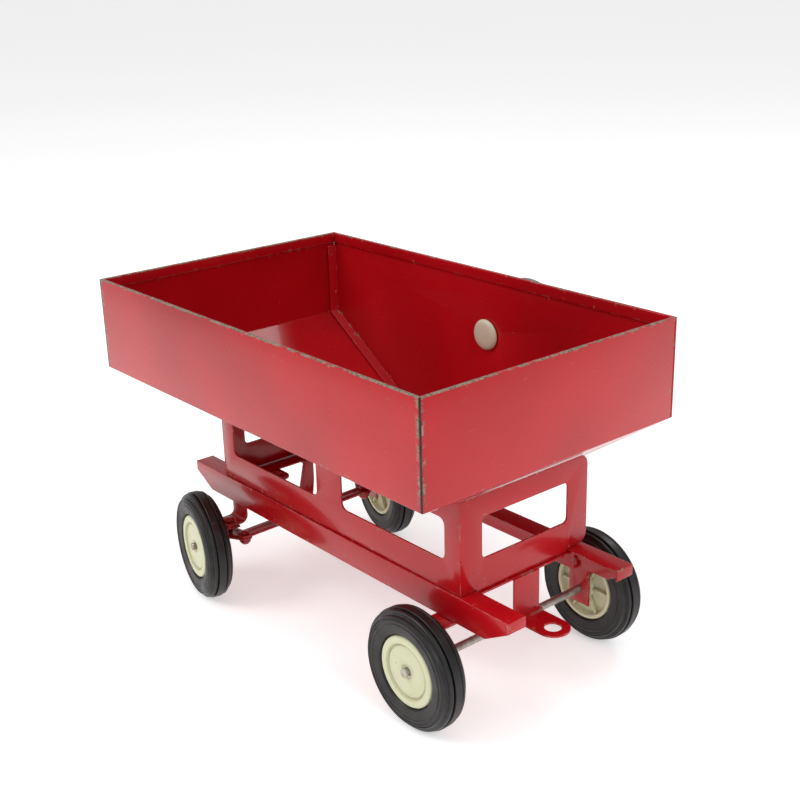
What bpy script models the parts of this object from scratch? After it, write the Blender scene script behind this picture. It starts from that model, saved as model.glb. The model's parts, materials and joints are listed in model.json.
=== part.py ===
"""Pressed-steel toy gravity wagon: a side-discharge hopper on a windowed pedestal and a steered gear.

Wagon frame: +X to the rear, +Y to the discharge side, +Z up, ground at Z = 0, metres. The hopper is
centred on X = 0 and Y = 0. The last step moves everything so that the bounding box stands centred over
the origin.
"""
import math

import bmesh
import bpy
from mathutils import Matrix, Vector

# Sheet metal
SHEET = 0.0008
STRIP = 0.0010
GAP = 0.0003
RUN_CLEARANCE = 0.00015
OVERRUN = 0.004

# Hopper
HOPPER_LENGTH = 0.215
HOPPER_WIDTH = 0.1306
BAND_HEIGHT = 0.040
HOPPER_DEPTH = 0.0857
END_SLOPE = 0.67
HEM_HEIGHT = 0.0048
FLANGE_WIDTH = 0.0055
FLANGE_CLEARANCE = 0.0015
APRON_DROP = 0.0030
DOOR_RISE = 0.0010
DOOR_OPENING_WIDTH = 0.030
DOOR_OPENING_HEIGHT = 0.018
DOOR_LAP = 0.0035
CHUTE_LENGTH = 0.0185
CHUTE_DROP = 0.0080
CHUTE_CHEEK = 0.0080
CHUTE_FLANGE = 0.0050
GUIDE_FOOT = 0.0045
GUIDE_LIP = 0.0025

# Hand wheel, its shaft and the rack that lifts the door
HAND_WHEEL_X = 0.0036
HAND_WHEEL_BELOW_RIM = 0.0296
HAND_WHEEL_RADIUS = 0.0207
HAND_WHEEL_STANDOFF = 0.0268
HAND_WHEEL_RIM = 0.0017
SPOKE_RADIUS = 0.0011
SPOKE_START = 0.0030
BOSS_RADIUS = 0.0042
BOSS_FACE = 0.0018
SHAFT_RADIUS = 0.0016
SHAFT_END = 0.0008
SHAFT_HEAD_RADIUS = 0.0024
SHAFT_HEAD = 0.0009
CAP_RADIUS = 0.0071
CAP_THICKNESS = 0.0019
BRACKET_REACH = 0.0185
BRACKET_HALF_WIDTH = 0.0140
BRACKET_HEIGHT = 0.0100
BRACKET_FOOT = 0.0060
PINION_TEETH = 10
PINION_PITCH_RADIUS = 0.0048
TOOTH_REACH = 0.0005
TOOTH_ROOT = 0.0009
TOOTH_SHARE = 0.36
RACK_BACK = 0.0030
DOOR_TRAVEL = 0.018

# Pedestal
PEDESTAL_FRONT_INSET = 0.04025
PEDESTAL_HALF_WIDTH = 0.0330
PEDESTAL_FAR_EDGE = 0.0354
PEDESTAL_HEIGHT = 0.0381
PEDESTAL_CORNER = 0.0045
STILE_WIDTH = 0.0165
SIDE_MARGIN = 0.0085
WINDOW_SILL = 0.0118
WINDOW_HEAD = 0.0092
END_MARGIN = 0.0112
WINDOW_CORNER = 0.0030
FRONT_WINDOW_HEIGHT = 0.0080

# Rails and cross plates
RAIL_ABOVE_AXLE = 0.0268
RAIL_REAR_OVERHANG = 0.0257
RAIL_FRONT_OVERHANG = 0.02375
RAIL_HALF_SPACING = 0.0339
RAIL_TOP_WIDTH = 0.0091
RAIL_DEPTH = 0.0112
RAIL_NOSE = 0.0045
RAIL_NOSE_LENGTH = 0.0120
NOTCH_DEPTH = 0.0032
NOTCH_WIDTH = 0.0027
CROSS_PLATE_WIDTH = 0.0100
REAR_PLATE_WIDTH = 0.0140
PLATE_OVERHANG = 0.0012
HITCH_WIDTH = 0.0137
HITCH_DROP = 0.0182
HITCH_REACH = 0.0215
HITCH_HOLE_RADIUS = 0.0034
GUSSET_REACH = 0.0118
GUSSET_INNER = 0.0097
GUSSET_CORNER = 0.0050
RIVET_RADIUS = 0.0012
DRAWBAR_STRAP_Y = 0.0040
DRAWBAR_STRAP_DROP = 0.0230
DRAWBAR_HOLE_RADIUS = 0.0016

# Running gear
TYRE_RADIUS = 0.0244
TYRE_WIDTH = 0.0118
TYRE_BORE = 0.0146
HUB_HALF_WIDTH = 0.0050
HUB_DISH = 0.0006
HUB_RING_WIDTH = 0.0030
HUB_BACK_DISH = 0.0026
HUB_BACK_RING_WIDTH = 0.0018
AXLE_RADIUS = 0.0016
AXLE_HEAD = 0.0019
AXLE_HEAD_THICKNESS = 0.0007
AXLE_END_PLAY = 0.0002
REAR_AXLE_INSET = 0.00805
REAR_WHEEL_Y = 0.0487
HANGER_WIDTH = 0.0105
REAR_HANGER_Y = 0.0415
HANGER_BELOW_AXLE = 0.0062
SHELF_GAP = 0.0004
HANGER_BEND = 0.0025
TAB_REACH = 0.0034
KINGPIN_INSET = 0.00925
KINGPIN_Y = 0.0390
KINGPIN_RADIUS = 0.0015
WHEEL_OFFSET = 0.0125
TAB_ABOVE_AXLE = 0.0086
KNUCKLE_HALF_WIDTH = 0.0052
KNUCKLE_WEB = 0.0056
KNUCKLE_INNER = 0.0036
KNUCKLE_BELOW_AXLE = 0.0044
ARM_DROP = 0.0035
ARM_REACH = 0.0090
ARM_INSET = 0.0040
ARM_KINGPIN_END = 0.0040
ARM_PIN_END = 0.0034
TIE_ROD_WIDTH = 0.0070
TIE_PIN_RADIUS = 0.0012
TIE_PIN_SLOP = 0.0007
REST_STEER = math.radians(-12.0)

# Worked out from the sizes above
RAIL_TOP = TYRE_RADIUS + RAIL_ABOVE_AXLE
FRONT_TAB_TOP = TYRE_RADIUS + TAB_ABOVE_AXLE
HALF_X = HOPPER_LENGTH / 2
HALF_Y = HOPPER_WIDTH / 2
SIDE_SLOPE = (HOPPER_DEPTH - BAND_HEIGHT) / HOPPER_WIDTH
SIDE_SHEET = SHEET * math.hypot(1, SIDE_SLOPE)
END_SHEET = SHEET * math.hypot(1, END_SLOPE)
PEDESTAL_BASE = RAIL_TOP + GAP
PEDESTAL_TOP = PEDESTAL_BASE + PEDESTAL_HEIGHT
BAND_BASE = PEDESTAL_TOP + GAP + SIDE_SHEET + SIDE_SLOPE * (HALF_Y - PEDESTAL_HALF_WIDTH)
RIM = BAND_BASE + BAND_HEIGHT
HOPPER_FOOT = RIM - HOPPER_DEPTH
FOOT_HALF = HALF_X - (BAND_BASE - HOPPER_FOOT) / END_SLOPE
PEDESTAL_REAR = HALF_X - (BAND_BASE - END_SHEET - GAP - PEDESTAL_TOP) / END_SLOPE
PEDESTAL_FRONT = PEDESTAL_FRONT_INSET - HALF_X
RAIL_REAR = PEDESTAL_REAR + RAIL_REAR_OVERHANG
RAIL_FRONT = PEDESTAL_FRONT - RAIL_FRONT_OVERHANG
REAR_AXLE_X = PEDESTAL_REAR - REAR_AXLE_INSET
KINGPIN_X = PEDESTAL_FRONT + KINGPIN_INSET
RAIL_BASE = RAIL_TOP - RAIL_DEPTH
PLATE_TOP = RAIL_TOP - SHEET - GAP
LEG_OUTER = RAIL_HALF_SPACING - SHEET - GAP
PLATE_HALF = LEG_OUTER - STRIP - GAP
HAND_WHEEL_Z = RIM - HAND_WHEEL_BELOW_RIM
DOOR_HALF = DOOR_OPENING_WIDTH / 2 + DOOR_LAP
DOOR_BASE = HOPPER_FOOT + DOOR_RISE
DOOR_TOP = DOOR_BASE + DOOR_OPENING_HEIGHT + 2 * DOOR_LAP
OPENING_BASE = DOOR_BASE + DOOR_LAP
DOOR_FACE = HALF_Y + GAP
RACK_FACE = DOOR_FACE + SHEET + GAP
HAND_WHEEL_Y = HALF_Y + HAND_WHEEL_STANDOFF
TAB_BASE = FRONT_TAB_TOP - STRIP
KNUCKLE_TOP = TAB_BASE - GAP
ARM_TOP = KNUCKLE_TOP - ARM_DROP
TIE_ROD_BASE = ARM_TOP + GAP


def material(name, colour, roughness, metallic=0.0):
    made = bpy.data.materials.new(name)
    made.use_nodes = True
    shader = made.node_tree.nodes["Principled BSDF"]
    shader.inputs["Base Color"].default_value = (*colour, 1.0)
    shader.inputs["Roughness"].default_value = roughness
    shader.inputs["Metallic"].default_value = metallic
    made.diffuse_color = (*colour, 1.0)
    return made


def link(name, mesh, finish, smooth=False):
    made = bpy.data.objects.new(name, mesh)
    bpy.context.scene.collection.objects.link(made)
    if finish is not None:
        mesh.materials.append(finish)
    if smooth:
        mesh.shade_smooth()
        mesh.set_sharp_from_angle(angle=math.radians(35))
    return made


def from_bmesh(name, shape, finish, smooth=False):
    bmesh.ops.recalc_face_normals(shape, faces=shape.faces)
    mesh = bpy.data.meshes.new(name)
    shape.to_mesh(mesh)
    shape.free()
    return link(name, mesh, finish, smooth)


def prism(name, outline, low, high, axis, finish=None):
    """An outline extruded along an axis: (x, y) points along Z, (x, z) along Y, or (y, z) along X."""
    place = {
        "X": lambda a, b, depth: (depth, a, b),
        "Y": lambda a, b, depth: (a, depth, b),
        "Z": lambda a, b, depth: (a, b, depth),
    }[axis]
    shape = bmesh.new()
    corners = [shape.verts.new(place(a, b, low)) for a, b in outline]
    base = shape.faces.new(corners)
    moved = bmesh.ops.extrude_face_region(shape, geom=[base])
    step = Vector(place(0.0, 0.0, high - low))
    ends = [part for part in moved["geom"] if isinstance(part, bmesh.types.BMVert)]
    bmesh.ops.translate(shape, vec=step, verts=ends)
    return from_bmesh(name, shape, finish)


def box(name, low, high, finish=None):
    outline = [(low[0], low[1]), (high[0], low[1]), (high[0], high[1]), (low[0], high[1])]
    return prism(name, outline, low[2], high[2], "Z", finish)


def turned(name, profile, finish, centre=(0.0, 0.0, 0.0), axis="Y", sides=28, closed=True):
    """A profile of (radius, along) points turned about an axis. A closed profile never touches the axis."""
    shape = bmesh.new()
    rings = []
    for radius, along in profile:
        if radius == 0.0:
            rings.append([shape.verts.new((0.0, 0.0, along))])
            continue
        ring = []
        for side in range(sides):
            angle = 2 * math.pi * side / sides
            ring.append(shape.verts.new((radius * math.cos(angle), radius * math.sin(angle), along)))
        rings.append(ring)
    pairs = list(zip(rings, rings[1:] + rings[:1] if closed else rings[1:]))
    for first, second in pairs:
        for side in range(sides):
            after = (side + 1) % sides
            if len(first) == 1:
                shape.faces.new((first[0], second[side], second[after]))
            elif len(second) == 1:
                shape.faces.new((first[side], first[after], second[0]))
            else:
                shape.faces.new((first[side], first[after], second[after], second[side]))
    turns = {
        "X": Matrix.Rotation(math.pi / 2, 4, "Y"),
        "Y": Matrix.Rotation(-math.pi / 2, 4, "X"),
        "Z": Matrix(),
    }
    bmesh.ops.transform(shape, matrix=turns[axis], verts=shape.verts)
    bmesh.ops.translate(shape, vec=Vector(centre), verts=shape.verts)
    return from_bmesh(name, shape, finish, smooth=True)


def rod(name, radius, low, high, finish=None, centre=(0.0, 0.0, 0.0), axis="Y", sides=24):
    profile = [(0.0, low), (radius, low), (radius, high), (0.0, high)]
    return turned(name, profile, finish, centre, axis, sides, False)


def bore(target, name, radius, centre, axis="Y", sides=24, reach=OVERRUN):
    """Cuts a round hole through target, along an axis."""
    cut(target, rod(name, radius, -reach, reach, None, centre, axis, sides))


def arc(centre, radius, start, end, steps):
    points = []
    for step in range(steps + 1):
        angle = math.radians(start + (end - start) * step / steps)
        points.append((centre[0] + radius * math.cos(angle), centre[1] + radius * math.sin(angle)))
    return points


def rounded_box(low, high, radius, steps=4):
    left, right = low[0] + radius, high[0] - radius
    base, top = low[1] + radius, high[1] - radius
    points = []
    for centre, start in [((right, top), 0), ((left, top), 90), ((left, base), 180), ((right, base), 270)]:
        points += arc(centre, radius, start, start + 90, steps)
    return points


def wrap(points):
    """The convex outline around a set of points."""
    ordered = sorted(set(points))

    def half(sequence):
        chain = []
        for point in sequence:
            while len(chain) > 1:
                (ax, ay), (bx, by) = chain[-2], chain[-1]
                if (bx - ax) * (point[1] - ay) - (by - ay) * (point[0] - ax) > 0:
                    break
                chain.pop()
            chain.append(point)
        return chain[:-1]

    return half(ordered) + half(ordered[::-1])


def bent(path, thickness):
    """The closed outline of a strip that follows a path of points, on the path's left side."""
    offsets = []
    for index, point in enumerate(path):
        before = Vector(path[index]) - Vector(path[index - 1]) if index else None
        after = Vector(path[index + 1]) - Vector(point) if index + 1 < len(path) else None
        steps = [step for step in (before, after) if step is not None]
        sides = [Vector((-step.y, step.x)).normalized() for step in steps]
        normal = sum(sides, Vector((0.0, 0.0)))
        normal = normal / normal.dot(sides[0])
        offsets.append(tuple(Vector(point) + normal * thickness))
    return list(path) + offsets[::-1]


def boolean(target, operation, other):
    other.hide_render = True
    other.display_type = "WIRE"
    step = target.modifiers.new(operation.title() + " " + other.name, "BOOLEAN")
    step.operation = operation
    step.object = other
    step.solver = "EXACT"


def cut(target, *cutters):
    for cutter in cutters:
        boolean(target, "DIFFERENCE", cutter)


def join(target, *others):
    for other in others:
        boolean(target, "UNION", other)


def lofted(name, section, along, caps, finish):
    """A sheet whose section points (across, height, low, high) each run from low to high along X or Y."""
    shape = bmesh.new()
    rings = []
    for end in (2, 3):
        ring = []
        for point in section:
            across, height = point[:2]
            place = (point[end], across, height) if along == "X" else (across, point[end], height)
            ring.append(shape.verts.new(place))
        rings.append(ring)
    count = len(section)
    for index in range(count):
        after = (index + 1) % count
        shape.faces.new((rings[0][index], rings[0][after], rings[1][after], rings[1][index]))
    for ring in rings:
        for cap in caps:
            shape.faces.new([ring[index] for index in cap])
    return from_bmesh(name, shape, finish)


# Hopper ---------------------------------------------------------------------------------------------
def side_floor(y):
    """Height of the near floor's upper face."""
    return BAND_BASE - SIDE_SLOPE * (y + HALF_Y)


def end_floor(x):
    """Height of the front and rear floors' upper faces."""
    return BAND_BASE - END_SLOPE * (HALF_X - abs(x))


def hip_x(y):
    """Half length of the near floor, which ends where its height meets the end floors'."""
    return HALF_X - SIDE_SLOPE * (y + HALF_Y) / END_SLOPE


def hip_y(x):
    return END_SLOPE * (HALF_X - abs(x)) / SIDE_SLOPE - HALF_Y


def hopper_near_side(finish):
    far = HALF_Y - SHEET - GAP
    inner = SHEET - HALF_Y
    hem = inner + SHEET
    low = RIM - HEM_HEIGHT
    section = []
    for y, z in [
        (-HALF_Y, BAND_BASE - SIDE_SHEET),
        (-HALF_Y, RIM),
        (hem, RIM),
        (hem, low),
        (inner, low),
        (inner, side_floor(inner)),
    ]:
        mitre = HALF_X - (y + HALF_Y)
        section.append((y, z, -mitre, mitre))
    for z in (side_floor(far), side_floor(far) - SIDE_SHEET):
        section.append((far, z, GAP - hip_x(far), hip_x(far) - GAP))
    return lofted("hopper_near_side", section, "X", [(0, 1, 2, 3, 4, 5), (0, 5, 6, 7)], finish)


def hopper_end(name, way, finish):
    """way is -1 for the front end and 1 for the rear end."""
    far = HALF_Y - SHEET - GAP
    foot = hip_x(far - SHEET)
    inner = HALF_X - SHEET
    hem = inner - SHEET
    low = RIM - HEM_HEIGHT
    section = []
    for x, z in [
        (HALF_X, BAND_BASE - END_SHEET),
        (HALF_X, RIM),
        (hem, RIM),
        (hem, low),
        (inner, low),
        (inner, end_floor(inner)),
    ]:
        mitre = HALF_X - x - HALF_Y + GAP * math.sqrt(2)
        section.append((way * x, z, mitre, far))
    for z in (end_floor(foot), end_floor(foot) - END_SHEET):
        section.append((way * foot, z, hip_y(foot) - GAP, far))
    return lofted(name, section, "Y", [(0, 1, 2, 3, 4, 5), (0, 5, 6, 7)], finish)


def hopper_far_side(finish):
    apron = HOPPER_FOOT - APRON_DROP
    edge = END_SHEET
    outline = [
        (-HALF_X, BAND_BASE - edge),
        (-FOOT_HALF, HOPPER_FOOT - edge),
        (-DOOR_HALF, apron),
        (DOOR_HALF, apron),
        (FOOT_HALF, HOPPER_FOOT - edge),
        (HALF_X, BAND_BASE - edge),
        (HALF_X, RIM),
        (-HALF_X, RIM),
    ]
    side = prism("hopper_far_side", outline, HALF_Y - SHEET, HALF_Y, "Y", finish)
    hem_half = HALF_X - 2 * SHEET - GAP
    hem = box(
        "far_hem",
        (-hem_half, HALF_Y - 2 * SHEET, RIM - HEM_HEIGHT),
        (hem_half, HALF_Y - SHEET / 2, RIM),
    )
    join(side, hem)
    top = RIM - HEM_HEIGHT - FLANGE_CLEARANCE
    flange_x = HALF_X - SHEET - GAP
    inset = FOOT_HALF + FLANGE_WIDTH
    for way, word in ((-1, "front"), (1, "rear")):
        path = [(flange_x, top), (flange_x, end_floor(flange_x) + GAP), (inset, end_floor(inset) + GAP)]
        strip = [(way * x, z) for x, z in bent(path[::-1], SHEET)]
        flange = prism(word + "_flange", strip, HALF_Y - FLANGE_WIDTH, HALF_Y - SHEET / 2, "Y")
        join(side, flange)
    half = DOOR_OPENING_WIDTH / 2
    opening = box(
        "door_opening",
        (-half, HALF_Y - FLANGE_WIDTH, OPENING_BASE),
        (half, HALF_Y + OVERRUN, OPENING_BASE + DOOR_OPENING_HEIGHT),
    )
    cut(side, opening)
    bore(side, "shaft_hole", SHAFT_RADIUS + GAP, (HAND_WHEEL_X, HALF_Y, HAND_WHEEL_Z))
    return side


def hopper_room():
    """The space that the sloping floors and their thickness take, used to trim what stands below them."""
    drop = END_SHEET + GAP
    shape = bmesh.new()
    points = []
    for x, y, z in [
        (-HALF_X, -HALF_Y, BAND_BASE),
        (HALF_X, -HALF_Y, BAND_BASE),
        (HALF_X, HALF_Y, BAND_BASE),
        (-HALF_X, HALF_Y, BAND_BASE),
        (-FOOT_HALF, HALF_Y, HOPPER_FOOT),
        (FOOT_HALF, HALF_Y, HOPPER_FOOT),
    ]:
        points.append(shape.verts.new((x, y, z - drop)))
    for x, y in [(-HALF_X, -HALF_Y), (HALF_X, -HALF_Y), (HALF_X, HALF_Y), (-HALF_X, HALF_Y)]:
        points.append(shape.verts.new((x, y, BAND_BASE)))
    bmesh.ops.convex_hull(shape, input=points)
    return from_bmesh("hopper_room", shape, None)


def discharge_chute(finish):
    top = HOPPER_FOOT - GAP - 2 * SHEET
    start = DOOR_FACE
    end = start + SHEET + CHUTE_LENGTH
    path = [(start + SHEET, top - CHUTE_FLANGE), (start + SHEET, top), (end, top - CHUTE_DROP)]
    tray = prism("discharge_chute", bent(path, SHEET), -DOOR_HALF, DOOR_HALF, "X", finish)
    lip = start + SHEET + GAP + 2 * SHEET + GAP
    slope = CHUTE_DROP / CHUTE_LENGTH
    for way, word in ((-1, "front"), (1, "rear")):
        cheek_outline = []
        for y, lift in [(lip, 0.0), (end, 0.0), (end, CHUTE_CHEEK * 0.6), (lip, CHUTE_CHEEK)]:
            cheek_outline.append((y, top - slope * (y - start - SHEET) - SHEET / 2 + lift))
        inner, outer = way * (DOOR_HALF - SHEET), way * DOOR_HALF
        join(tray, prism("cheek_" + word, cheek_outline, inner, outer, "X"))
    return tray


def door_guide(name, way, finish):
    edge = DOOR_HALF + GAP
    lip = RACK_FACE + SHEET
    outline = [
        (edge, DOOR_FACE),
        (edge + GUIDE_FOOT, DOOR_FACE),
        (edge + GUIDE_FOOT, DOOR_FACE + SHEET),
        (edge + SHEET, DOOR_FACE + SHEET),
        (edge + SHEET, lip),
        (edge - GUIDE_LIP, lip),
        (edge - GUIDE_LIP, RACK_FACE),
        (edge, RACK_FACE),
    ]
    top = DOOR_TOP + DOOR_TRAVEL
    return prism(name, [(way * x, y) for x, y in outline], HOPPER_FOOT, top, "Z", finish)


def discharge_door(finish):
    """Drawn, like the rack, about the middle of the door's lower edge."""
    return box("discharge_door", (-DOOR_HALF, 0.0, 0.0), (DOOR_HALF, SHEET, DOOR_TOP - DOOR_BASE), finish)


def tooth_pitch():
    return 2 * math.pi * PINION_PITCH_RADIUS / PINION_TEETH


def door_rack(finish):
    """A toothed strip on the door, with its teeth towards the pinion."""
    pitch_x = HAND_WHEEL_X + PINION_PITCH_RADIUS
    tip, root = pitch_x - TOOTH_REACH, pitch_x + TOOTH_ROOT
    back = root + RACK_BACK
    pitch = tooth_pitch()
    below = math.ceil((DOOR_TRAVEL / pitch) + 1)
    level = HAND_WHEEL_Z - DOOR_BASE
    head, foot = level + 1.6 * pitch, 2 * DOOR_LAP
    half_root, half_tip = 0.625 * TOOTH_SHARE * pitch, 0.35 * TOOTH_SHARE * pitch
    outline = [(back, head), (back, foot), (root, foot)]
    for tooth in range(-below, 2):
        middle = level + tooth * pitch
        outline += [
            (root, middle - half_root),
            (tip, middle - half_tip),
            (tip, middle + half_tip),
            (root, middle + half_root),
        ]
    outline.append((root, head))
    face = RACK_FACE - DOOR_FACE
    return prism("door_rack", outline, face, face + STRIP, "Y", finish)


def pinion(finish):
    """Drawn, like wheel, shaft and cap, about the shaft axis. Its gaps face the rack teeth at rest."""
    root, tip = PINION_PITCH_RADIUS - TOOTH_ROOT, PINION_PITCH_RADIUS + TOOTH_REACH
    step = 2 * math.pi / PINION_TEETH
    outline = []
    for tooth in range(PINION_TEETH):
        middle = (tooth + 0.5) * step
        for radius, share in ((root, -0.62), (tip, -0.30), (tip, 0.30), (root, 0.62)):
            angle = middle + share * TOOTH_SHARE * step
            outline.append((radius * math.cos(angle), radius * math.sin(angle)))
    gear = prism("pinion", outline, RACK_FACE - GAP, RACK_FACE + STRIP + GAP, "Y", finish)
    bore(gear, "pinion_bore", SHAFT_RADIUS + RUN_CLEARANCE, (0.0, RACK_FACE, 0.0))
    return gear


def shaft_bracket(finish):
    foot, half, reach = DOOR_FACE, BRACKET_HALF_WIDTH, BRACKET_REACH
    path = [(half + BRACKET_FOOT, foot + SHEET), (half, foot + SHEET), (half, foot + reach)]
    path += [(-half, foot + reach), (-half, foot + SHEET), (-half - BRACKET_FOOT, foot + SHEET)]
    outline = [(HAND_WHEEL_X + x, y) for x, y in bent(path, SHEET)]
    low = HAND_WHEEL_Z - BRACKET_HEIGHT / 2
    bracket = prism("shaft_bracket", outline, low, low + BRACKET_HEIGHT, "Z", finish)
    centre = (HAND_WHEEL_X, foot + reach, HAND_WHEEL_Z)
    bore(bracket, "bracket_bore", SHAFT_RADIUS + RUN_CLEARANCE, centre)
    return bracket


def hand_wheel(finish):
    centre = Vector((0.0, HAND_WHEEL_Y, 0.0))
    ring = HAND_WHEEL_RADIUS - HAND_WHEEL_RIM
    profile = [(ring + x, y) for x, y in arc((0.0, 0.0), HAND_WHEEL_RIM, 0, 315, 7)]
    wheel = turned("hand_wheel", profile, finish, tuple(centre), "Y", 36)
    for spoke in range(4):
        angle = math.pi / 4 + spoke * math.pi / 2
        arm = rod("spoke_%d" % spoke, SPOKE_RADIUS, SPOKE_START, ring, axis="X", sides=10)
        arm.data.transform(Matrix.Translation(centre) @ Matrix.Rotation(angle, 4, "Y"))
        join(wheel, arm)
    inner = DOOR_FACE + BRACKET_REACH + SHEET - HAND_WHEEL_Y
    hole = SHAFT_RADIUS + RUN_CLEARANCE
    boss = [(hole, inner), (BOSS_RADIUS, inner), (BOSS_RADIUS, BOSS_FACE * 0.55)]
    boss += [(BOSS_RADIUS * 0.86, BOSS_FACE), (hole, BOSS_FACE)]
    join(wheel, turned("wheel_boss", boss, None, tuple(centre), "Y", 24))
    return wheel


def hand_wheel_shaft(finish):
    inner = HALF_Y - SHEET - SHAFT_END - HAND_WHEEL_Y
    head = BOSS_FACE + GAP
    profile = [(0.0, inner), (SHAFT_RADIUS, inner), (SHAFT_RADIUS, head), (SHAFT_HEAD_RADIUS, head)]
    profile += [(SHAFT_HEAD_RADIUS, head + SHAFT_HEAD * 0.7), (SHAFT_HEAD_RADIUS * 0.6, head + SHAFT_HEAD)]
    profile.append((0.0, head + SHAFT_HEAD))
    return turned("hand_wheel_shaft", profile, finish, (0.0, HAND_WHEEL_Y, 0.0), "Y", 24, False)


def shaft_cap(finish):
    """The round button inside the hopper that keeps the shaft in."""
    outer = -SHEET - GAP
    hole = SHAFT_RADIUS + RUN_CLEARANCE
    depth = outer - SHAFT_END
    face = outer - CAP_THICKNESS
    profile = [(0.0, face), (CAP_RADIUS - 0.0009, face), (CAP_RADIUS - 0.0003, face + 0.0003)]
    profile += [(CAP_RADIUS, face + 0.0008), (CAP_RADIUS, outer), (hole, outer), (hole, depth)]
    profile.append((0.0, depth))
    return turned("shaft_cap", profile, finish, (0.0, HALF_Y, 0.0), "Y", 28, False)


# Pedestal and frame ---------------------------------------------------------------------------------
def pedestal(finish, room):
    far, corner = PEDESTAL_FAR_EDGE, PEDESTAL_CORNER
    base, top = PEDESTAL_BASE, PEDESTAL_TOP
    tongue, foot = RAIL_HALF_SPACING - RAIL_TOP_WIDTH - GAP, PLATE_TOP + GAP
    outline = [(-PEDESTAL_HALF_WIDTH, top), (-PEDESTAL_HALF_WIDTH, base)]
    outline += [(-tongue, base), (-tongue, foot), (tongue, foot), (tongue, base)]
    outline += arc((far - corner, base + corner), corner, -90, 0, 5)
    outline += arc((far - corner, top - corner), corner, 0, 90, 5)
    shell = prism("pedestal", outline, PEDESTAL_FRONT, PEDESTAL_REAR, "X", finish)
    inside = box(
        "pedestal_inside",
        (PEDESTAL_FRONT + SHEET, SHEET - PEDESTAL_HALF_WIDTH, foot - OVERRUN),
        (PEDESTAL_REAR - SHEET, far + OVERRUN, top + OVERRUN),
    )
    cut(shell, inside)
    sill, head = base + WINDOW_SILL, top - WINDOW_HEAD
    middle = (PEDESTAL_FRONT + PEDESTAL_REAR) / 2
    near = -PEDESTAL_HALF_WIDTH
    spans = {
        "near_front_window": (PEDESTAL_FRONT + SIDE_MARGIN, middle - STILE_WIDTH / 2),
        "near_rear_window": (middle + STILE_WIDTH / 2, PEDESTAL_REAR - SIDE_MARGIN),
    }
    for name, (start, stop) in spans.items():
        window = rounded_box((start, sill), (stop, head), WINDOW_CORNER)
        cut(shell, prism(name, window, near - OVERRUN, near + OVERRUN, "Y"))
    across = (near + END_MARGIN, far - END_MARGIN)
    ends = {
        "rear_window": (PEDESTAL_REAR, head),
        "front_window": (PEDESTAL_FRONT, sill + FRONT_WINDOW_HEIGHT),
    }
    for name, (x, top_edge) in ends.items():
        window = rounded_box((across[0], sill), (across[1], top_edge), WINDOW_CORNER * 0.7)
        cut(shell, prism(name, window, x - OVERRUN, x + OVERRUN, "X"))
    cut(shell, room)
    return shell


def rail(name, way, finish):
    """A top face, an outer flange and closed, tapered ends. way is -1 for the near rail, 1 for the far.

    The far rail's flange has a relief notch by the pedestal's rear corner.
    """
    nose = RAIL_TOP - RAIL_NOSE
    outline = [
        (RAIL_FRONT, RAIL_TOP),
        (RAIL_FRONT, nose),
        (RAIL_FRONT + RAIL_NOSE_LENGTH, RAIL_BASE),
        (RAIL_REAR - RAIL_NOSE_LENGTH, RAIL_BASE),
        (RAIL_REAR, nose),
        (RAIL_REAR, RAIL_TOP),
    ]
    outer, inner = way * RAIL_HALF_SPACING, way * (RAIL_HALF_SPACING - RAIL_TOP_WIDTH)
    body = prism(name, outline, inner, outer, "Y", finish)
    edges = sorted((inner - way * OVERRUN, outer - way * SHEET))
    inside = box(
        name + "_inside",
        (RAIL_FRONT + SHEET, edges[0], RAIL_BASE - OVERRUN),
        (RAIL_REAR - SHEET, edges[1], RAIL_TOP - SHEET),
    )
    cut(body, inside)
    if way > 0:
        notch = box(
            name + "_notch",
            (PEDESTAL_REAR - GAP - NOTCH_WIDTH, outer - 2 * SHEET, RAIL_BASE - OVERRUN),
            (PEDESTAL_REAR - GAP, outer + 2 * SHEET, RAIL_BASE + NOTCH_DEPTH),
        )
        cut(body, notch)
    return body


def front_cross_plate(finish):
    front = PEDESTAL_FRONT - PLATE_OVERHANG
    rear = front + CROSS_PLATE_WIDTH
    reach, inner, corner = rear + GUSSET_REACH, GUSSET_INNER, GUSSET_CORNER
    gusset_outer = RAIL_HALF_SPACING - RAIL_TOP_WIDTH
    half = [(front, PLATE_HALF), (rear, PLATE_HALF), (rear, gusset_outer), (reach, gusset_outer)]
    half += arc((reach - corner, inner + corner), corner, 0, -90, 5)
    half.append((rear, inner))
    mirrored = [(x, -y) for x, y in half[::-1]]
    plate = prism("front_cross_plate", half + mirrored, PLATE_TOP - SHEET, PLATE_TOP, "Z", finish)
    for way, word in ((-1, "near"), (1, "far")):
        place = (rear + GUSSET_REACH / 2, way * (inner + corner), PLATE_TOP)
        bore(plate, word + "_gusset_hole", RIVET_RADIUS + RUN_CLEARANCE, place, "Z", 16)
    return plate


def gusset_rivet(name, way, finish):
    rear = PEDESTAL_FRONT - PLATE_OVERHANG + CROSS_PLATE_WIDTH
    centre = (rear + GUSSET_REACH / 2, way * (GUSSET_INNER + GUSSET_CORNER), PLATE_TOP)
    tail, low, head = -SHEET - 3 * GAP, -SHEET - GAP, 2 * RIVET_RADIUS
    profile = [(0.0, tail), (1.5 * RIVET_RADIUS, tail), (1.5 * RIVET_RADIUS, low), (RIVET_RADIUS, low)]
    profile += [(RIVET_RADIUS, GAP), (head, GAP), (0.8 * head, GAP + 0.0008), (0.0, GAP + 0.0011)]
    return turned(name, profile, finish, centre, "Z", 16, False)


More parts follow.
